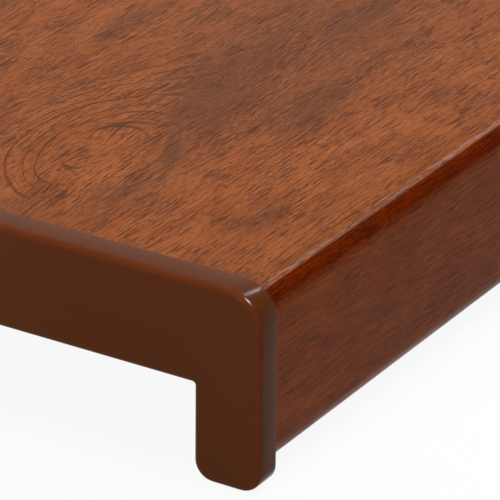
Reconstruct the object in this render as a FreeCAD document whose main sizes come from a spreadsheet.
# Window sill board: a hollow extruded PVC-U profile with an L-shaped nose along its front,
# and one moulded cap pushed onto its near end.
#
# Lengths are millimetres. X runs along the board, from the capped end to the sawn end. Y runs
# from the nose to the back edge, which goes under the window frame. Z is up. The sketches are
# drawn from the cap's own corner: its outer face is X = 0, its front Y = 0 and its foot Z = 0.
# The placement of both bodies then puts the middle of the whole part on the origin.

import FreeCAD, Part
import math
import os

import Sketcher

# Driving dimensions.
# Each entry is an alias, its value, and what it measures.

DIMENSIONS = [
    ("board_length", 1000.0, "length of the extrusion"),
    ("board_depth", 250.0, "front of the nose to the back edge"),
    ("board_thickness", 20.0, "top face to underside, behind the nose"),
    ("nose_height", 40.0, "top face to the foot of the nose"),
    ("nose_width", 12.7, "front of the nose to its rear face"),
    ("nose_radius", 6.4, "rounding from the top face to the front of the nose"),
    ("corner_radius", 0.6, "small radius of the extrusion's other outer corners"),
    ("outer_wall", 2.2, "wall on the outside of the extrusion"),
    ("inner_web", 1.2, "upright web between two chambers"),
    ("chamber_count", 8, "number of chambers behind the nose"),
    ("chamber_radius", 0.8, "radius in the corners of a chamber"),
    ("cap_plate", 2.0, "thickness of the cap over the end of the board"),
    ("cap_overlap", 5.0, "how far the cap's rim reaches along the board"),
    ("cap_rim", 1.2, "how far the rim stands out from the board's faces"),
    ("cap_drop", 2.1, "how far the cap reaches below the nose"),
    ("cap_foot_radius", 4.3, "the two corners at the foot of the cap"),
    ("cap_inner_radius", 0.5, "inside corner of the cap, below the board"),
    ("cap_face_radius", 1.5, "rounding from the cap's outer face to its sides"),
    ("cap_lip_radius", 0.3, "rounding of the rim's rear edge"),
    ("cap_clearance", 0.15, "gap between the board and the inside of the rim"),
    ("fin_thickness", 1.6, "thickness of a push-in fin"),
    ("fin_length", 12.0, "how far a fin reaches into its chamber"),
    ("fin_lead", 4.0, "length of the tapered tip of a fin"),
    ("fin_taper", 1.5, "how much the tip narrows on each side"),
    ("fin_clearance", 0.15, "gap between a fin and the wall it slides along"),
    ("nose_fin_count", 2, "fins in the chamber of the nose"),
    ("nose_fin_spacing", 14.0, "height from one fin of the nose to the next"),
]

# Places that several sketches share, as expressions of the sheet.

FRONT = "Sizes.cap_rim"
BACK = "(Sizes.cap_rim + Sizes.board_depth)"
NOSE_REAR = "(Sizes.cap_rim + Sizes.nose_width)"
FOOT = "Sizes.cap_drop"
TOP = "(Sizes.cap_drop + Sizes.nose_height)"
UNDERSIDE = "(Sizes.cap_drop + Sizes.nose_height - Sizes.board_thickness)"
CAP_DEPTH = "(Sizes.cap_plate + Sizes.cap_overlap)"
CHAMBER_WIDTH = (
    "((Sizes.board_depth - Sizes.nose_width - Sizes.outer_wall"
    " - (Sizes.chamber_count - 1) * Sizes.inner_web) / Sizes.chamber_count)"
)
CHAMBER_PITCH = f"({CHAMBER_WIDTH} + Sizes.inner_web)"
ROUND_END = "round end"

# How a constraint names the sketch's own origin point and its two axes.
ORIGIN = (-1, 1)
AXIS_ALONG = {"level": -1, "upright": -2}

# Two places closer than this are the same place.
NEAR = 0.001

doc = FreeCAD.newDocument("WindowSillBoard")
sizes = doc.addObject("Spreadsheet::Sheet", "Sizes")
for row, (alias, size, meaning) in enumerate(DIMENSIONS, start=1):
    sizes.set(f"A{row}", alias)
    sizes.set(f"B{row}", str(size))
    sizes.set(f"C{row}", meaning)
    sizes.setAlias(f"B{row}", alias)
doc.recompute()


def value(expression):
    """The number that an expression of the sheet gives now."""
    return float(sizes.evalExpression(expression))


def new_body(label):
    """A body whose place puts the middle of the whole part over the origin."""
    body = doc.addObject("PartDesign::Body", label)
    body.Label = label
    body.setExpression("Placement.Base.x", "-(Sizes.cap_plate + Sizes.board_length) / 2")
    body.setExpression("Placement.Base.y", "-(Sizes.cap_rim + Sizes.board_depth) / 2")
    return body


def new_sketch(body, name, plane="YZ_Plane", offset=None):
    """A sketch on one of the body's own origin planes, moved along the plane's normal."""
    sketch = body.newObject("Sketcher::SketchObject", name)
    support = next(item for item in body.Origin.OriginFeatures if item.Role == plane)
    sketch.AttachmentSupport = [(support, "")]
    sketch.MapMode = "FlatFace"
    if offset:
        sketch.setExpression("AttachmentOffset.Base.z", offset)
    doc.recompute()
    return sketch


def bind(sketch, constraint, expression):
    """Adds one constraint whose value follows the sheet."""
    index = sketch.addConstraint(constraint)
    sketch.setExpression(f"Constraints[{index}]", expression)


def fix_side(sketch, side, way, expression):
    """Holds a side "upright" or "level", at its distance from the sketch's origin."""
    parallel, distance = {
        "upright": ("Vertical", "DistanceX"),
        "level": ("Horizontal", "DistanceY"),
    }[way]
    sketch.addConstraint(Sketcher.Constraint(parallel, side))
    if expression == "0":
        sketch.addConstraint(Sketcher.Constraint("PointOnObject", side, 1, AXIS_ALONG[way]))
        return
    bind(sketch, Sketcher.Constraint(distance, *ORIGIN, side, 1, value(expression)), expression)


def outline(sketch, corners):
    """Draws a closed outline of level and upright sides, anticlockwise from corner to corner.

    A corner is (across, up, radius), each an expression of the sheet. A radius of "0" leaves it
    sharp. Two corners in a row whose radius is ROUND_END are the sides of one half circle.
    """
    count = len(corners)
    points = [FreeCAD.Vector(value(across), value(up), 0) for across, up, _ in corners]
    half_width = {}
    for i in range(count):
        after = (i + 1) % count
        if corners[i][2] == corners[after][2] == ROUND_END:
            half_width[i] = half_width[after] = (points[after] - points[i]).Length / 2

    def radius(i):
        return half_width[i] if i in half_width else value(corners[i][2])

    def direction(i):
        return (points[(i + 1) % count] - points[i]).normalize()

    # The straight sides. The one between the two corners of a round end has no length.
    sides = {}
    for i in range(count):
        after = (i + 1) % count
        if i in half_width and after in half_width:
            continue
        start = points[i] + direction(i) * radius(i)
        end = points[after] - direction(i) * radius(after)
        sides[i] = sketch.addGeometry(Part.LineSegment(start, end), False)
        across, up, _ = corners[i]
        if abs(end.x - start.x) < NEAR:
            fix_side(sketch, sides[i], "upright", across)
        else:
            fix_side(sketch, sides[i], "level", up)

    # The corners between them.
    normal = FreeCAD.Vector(0, 0, 1)
    for i in range(count):
        before = (i - 1) % count
        if before not in sides:
            continue
        after = i if i in sides else (i + 1) % count
        if radius(i) == 0:
            sketch.addConstraint(Sketcher.Constraint("Coincident", sides[before], 2, sides[after], 1))
            continue
        start = points[i] - direction(before) * radius(i)
        left_turn = direction(before).cross(direction(i)).z > 0
        inward = normal.cross(direction(before)) * (1 if left_turn else -1)
        centre = start + inward * radius(i)
        if after == i:
            end = points[i] + direction(i) * radius(i)
        else:
            end = points[after] + direction(after) * radius(i)
        first, last = (start, end) if left_turn else (end, start)
        angles = [math.atan2(point.y - centre.y, point.x - centre.x) for point in (first, last)]
        circle = Part.Circle(centre, normal, radius(i))
        arc = sketch.addGeometry(Part.ArcOfCircle(circle, *angles), False)
        arc_start, arc_end = (1, 2) if left_turn else (2, 1)
        sketch.addConstraint(Sketcher.Constraint("Tangent", sides[before], 2, arc, arc_start))
        sketch.addConstraint(Sketcher.Constraint("Tangent", sides[after], 1, arc, arc_end))
        if i in half_width:
            low_point = corners[i][1]
            width = f"({corners[after][0]} - {corners[i][0]})"
            level = f"{low_point} + abs{width} / 2"
            bind(sketch, Sketcher.Constraint("DistanceY", *ORIGIN, arc, 3, centre.y), level)
        else:
            bind(sketch, Sketcher.Constraint("Radius", arc, radius(i)), corners[i][2])


def pad(body, sketch, name, length, midplane=False):
    """Adds material from a sketch, along the normal of its plane."""
    feature = body.newObject("PartDesign::Pad", name)
    feature.Profile = sketch
    feature.setExpression("Length", length)
    feature.Midplane = midplane
    sketch.Visibility = False
    doc.recompute()
    return feature


def pocket(body, sketch, name, length=None):
    """Takes material away from a sketch towards +X, through everything or over a length."""
    before = body.Shape.Volume
    feature = body.newObject("PartDesign::Pocket", name)
    feature.Profile = sketch
    feature.Reversed = True
    if length:
        feature.setExpression("Length", length)
    else:
        feature.Type = "ThroughAll"
    sketch.Visibility = False
    doc.recompute()
    if body.Shape.Volume >= before:
        raise RuntimeError(f"{name} takes nothing away")
    return feature


def repeat(body, feature, name, sketch, axis, count, pitch):
    """Repeats a feature in a row along one axis of its sketch."""
    pattern = body.newObject("PartDesign::LinearPattern", name)
    pattern.Originals = [feature]
    pattern.Direction = (sketch, [axis])
    pattern.setExpression("Occurrences", count)
    pattern.setExpression("Length", f"({count} - 1) * {pitch}")
    body.Tip = pattern
    doc.recompute()
    return pattern


def round_edges(body, feature, name, radius, chosen):
    """Rounds those edges of a feature that the given test picks out."""
    names = [f"Edge{n}" for n, edge in enumerate(feature.Shape.Edges, start=1) if chosen(edge)]
    fillet = body.newObject("PartDesign::Fillet", name)
    fillet.Base = (feature, names)
    fillet.setExpression("Radius", radius)
    doc.recompute()
    return fillet


# The board. Its outside is one L-shaped section, and its chambers are cut along the whole length.

board = new_body("sill_board")

section = new_sketch(board, "BoardSection", offset="Sizes.cap_plate")
outline(section, [
    (FRONT, TOP, "Sizes.nose_radius"),
    (FRONT, FOOT, ROUND_END),
    (NOSE_REAR, FOOT, ROUND_END),
    (NOSE_REAR, UNDERSIDE, "Sizes.corner_radius"),
    (BACK, UNDERSIDE, "Sizes.corner_radius"),
    (BACK, TOP, "Sizes.corner_radius"),
])
pad(board, section, "Extrusion", "Sizes.board_length")

# The chamber of the nose keeps an even wall: its roundings share their centres with the outside.
nose_chamber = new_sketch(board, "NoseChamberSection", offset="Sizes.cap_plate")
outline(nose_chamber, [
    (f"({FRONT} + Sizes.outer_wall)", f"({TOP} - Sizes.outer_wall)",
     "Sizes.nose_radius - Sizes.outer_wall"),
    (f"({FRONT} + Sizes.outer_wall)", f"({FOOT} + Sizes.outer_wall)", ROUND_END),
    (f"({NOSE_REAR} - Sizes.outer_wall)", f"({FOOT} + Sizes.outer_wall)", ROUND_END),
    (f"({NOSE_REAR} - Sizes.outer_wall)", f"({TOP} - Sizes.outer_wall)", "Sizes.chamber_radius"),
])
pocket(board, nose_chamber, "NoseChamber")

# The first chamber starts behind the nose, and the others follow it at an even pitch.
chamber = new_sketch(board, "ChamberSection", offset="Sizes.cap_plate")
chamber_end = f"({NOSE_REAR} + {CHAMBER_WIDTH})"
outline(chamber, [
    (NOSE_REAR, f"({TOP} - Sizes.outer_wall)", "Sizes.chamber_radius"),
    (NOSE_REAR, f"({UNDERSIDE} + Sizes.outer_wall)", "Sizes.chamber_radius"),
    (chamber_end, f"({UNDERSIDE} + Sizes.outer_wall)", "Sizes.chamber_radius"),
    (chamber_end, f"({TOP} - Sizes.outer_wall)", "Sizes.chamber_radius"),
])
first_chamber = pocket(board, chamber, "Chamber")
repeat(board, first_chamber, "ChamberRow", chamber, "H_Axis", "Sizes.chamber_count", CHAMBER_PITCH)

# The end cap. A solid of the cap's outline is hollowed from behind to the board's own section
# and a clearance. Its back end is cut off square, level with the board's back edge.

cap = new_body("end_cap")

cap_section = new_sketch(cap, "CapSection")
CAP_UNDERSIDE = f"({UNDERSIDE} - Sizes.cap_rim)"
CAP_NOSE_REAR = f"({NOSE_REAR} + Sizes.cap_rim)"
CAP_TOP = f"({TOP} + Sizes.cap_rim)"
outline(cap_section, [
    ("0", CAP_TOP, "Sizes.nose_radius + Sizes.cap_rim"),
    ("0", "0", "Sizes.cap_foot_radius"),
    (CAP_NOSE_REAR, "0", "Sizes.cap_foot_radius"),
    (CAP_NOSE_REAR, CAP_UNDERSIDE, "Sizes.cap_inner_radius"),
    (BACK, CAP_UNDERSIDE, "0"),
    (BACK, CAP_TOP, "0"),
])
cap_block = pad(cap, cap_section, "CapBlock", CAP_DEPTH)


def on_plane(edge, x):
    """True for an edge that lies whole in the plane at this X, and isn't at the cap's cut back."""
    box = edge.BoundBox
    at_back = box.YMin > value(BACK) - NEAR
    return abs(box.XMin - x) < NEAR and abs(box.XMax - x) < NEAR and not at_back


outer_face = round_edges(cap, cap_block, "OuterFaceRounding", "Sizes.cap_face_radius",
                         lambda edge: on_plane(edge, 0))
round_edges(cap, outer_face, "LipRounding", "Sizes.cap_lip_radius",
            lambda edge: on_plane(edge, value(CAP_DEPTH)))

# The seat lets the board's section in with the same clearance on every side. It runs past the
# cap's square back end.
GAP = "Sizes.cap_clearance"
seat = new_sketch(cap, "SeatSection", offset="Sizes.cap_plate")
past_back = f"({BACK} + Sizes.cap_rim)"
outline(seat, [
    (f"({FRONT} - {GAP})", f"({TOP} + {GAP})", f"Sizes.nose_radius + {GAP}"),
    (f"({FRONT} - {GAP})", f"({FOOT} - {GAP})", ROUND_END),
    (f"({NOSE_REAR} + {GAP})", f"({FOOT} - {GAP})", ROUND_END),
    (f"({NOSE_REAR} + {GAP})", f"({UNDERSIDE} - {GAP})", "Sizes.cap_inner_radius"),
    (past_back, f"({UNDERSIDE} - {GAP})", "0"),
    (past_back, f"({TOP} + {GAP})", "0"),
])
pocket(cap, seat, "Seat")

# Push-in fins. Each is an upright tongue in the middle of its chamber, that grips between the
# board's top and bottom walls. Its side view is drawn once, with the tapered tip.


def fin_profile(sketch, low, high):
    """Side view of a fin: out from the plate, with a tip that narrows on both sides."""
    root = "Sizes.cap_plate"
    shoulder = "(Sizes.cap_plate + Sizes.fin_length - Sizes.fin_lead)"
    tip = "(Sizes.cap_plate + Sizes.fin_length)"
    corners = [
        (root, low),
        (shoulder, low),
        (tip, f"({low} + Sizes.fin_taper)"),
        (tip, f"({high} - Sizes.fin_taper)"),
        (shoulder, high),
        (root, high),
    ]
    points = [FreeCAD.Vector(value(across), value(up), 0) for across, up in corners]
    count = len(corners)
    sides = []
    for i in range(count):
        line = Part.LineSegment(points[i], points[(i + 1) % count])
        sides.append(sketch.addGeometry(line, False))
    for i, (across, up) in enumerate(corners):
        sketch.addConstraint(Sketcher.Constraint("Coincident", sides[i - 1], 2, sides[i], 1))
        bind(sketch, Sketcher.Constraint("DistanceX", *ORIGIN, sides[i], 1, value(across)), across)
        bind(sketch, Sketcher.Constraint("DistanceY", *ORIGIN, sides[i], 1, value(up)), up)


# The plane XZ looks towards -Y, so a fin's place along Y is a negative offset.
fin = new_sketch(cap, "FinProfile", "XZ_Plane", f"-({NOSE_REAR} + {CHAMBER_WIDTH} / 2)")
fin_profile(
    fin,
    f"({UNDERSIDE} + Sizes.outer_wall + Sizes.fin_clearance)",
    f"({TOP} - Sizes.outer_wall - Sizes.fin_clearance)",
)
first_fin = pad(cap, fin, "Fin", "Sizes.fin_thickness", midplane=True)
fin_row = new_sketch(cap, "FinRowDirection")
repeat(cap, first_fin, "FinRow", fin_row, "H_Axis", "Sizes.chamber_count", CHAMBER_PITCH)

# The chamber of the nose is narrow, so its fins lie level and grip between front and rear.
# They share the same profile, drawn from above on the plane XY.
lowest_nose_fin = f"({FOOT} + Sizes.nose_width)"
nose_fin = new_sketch(cap, "NoseFinProfile", "XY_Plane", lowest_nose_fin)
fin_profile(
    nose_fin,
    f"({FRONT} + Sizes.outer_wall + Sizes.fin_clearance)",
    f"({NOSE_REAR} - Sizes.outer_wall - Sizes.fin_clearance)",
)
first_nose_fin = pad(cap, nose_fin, "NoseFin", "Sizes.fin_thickness", midplane=True)
repeat(cap, first_nose_fin, "NoseFinRow", fin_row, "V_Axis", "Sizes.nose_fin_count",
       "Sizes.nose_fin_spacing")

# Check the document before anything is written.

doc.recompute()
for item in doc.Objects:
    if "Invalid" in item.State or "Error" in item.State:
        raise RuntimeError(f"{item.Label} failed: {item.State}")

subparts = [board, cap]
for body in subparts:
    shape = body.Shape
    if shape.isNull() or not shape.isValid() or len(shape.Solids) != 1:
        raise RuntimeError(f"{body.Label} isn't one valid solid")
    box = shape.BoundBox
    print(f"{body.Label}: {box.XLength:.2f} x {box.YLength:.2f} x {box.ZLength:.2f} mm,"
          f" {shape.Volume / 1000:.1f} cm3")

os.makedirs("parts", exist_ok=True)
for body in subparts:
    body.Shape.exportStep(os.path.join("parts", body.Label + ".step"))
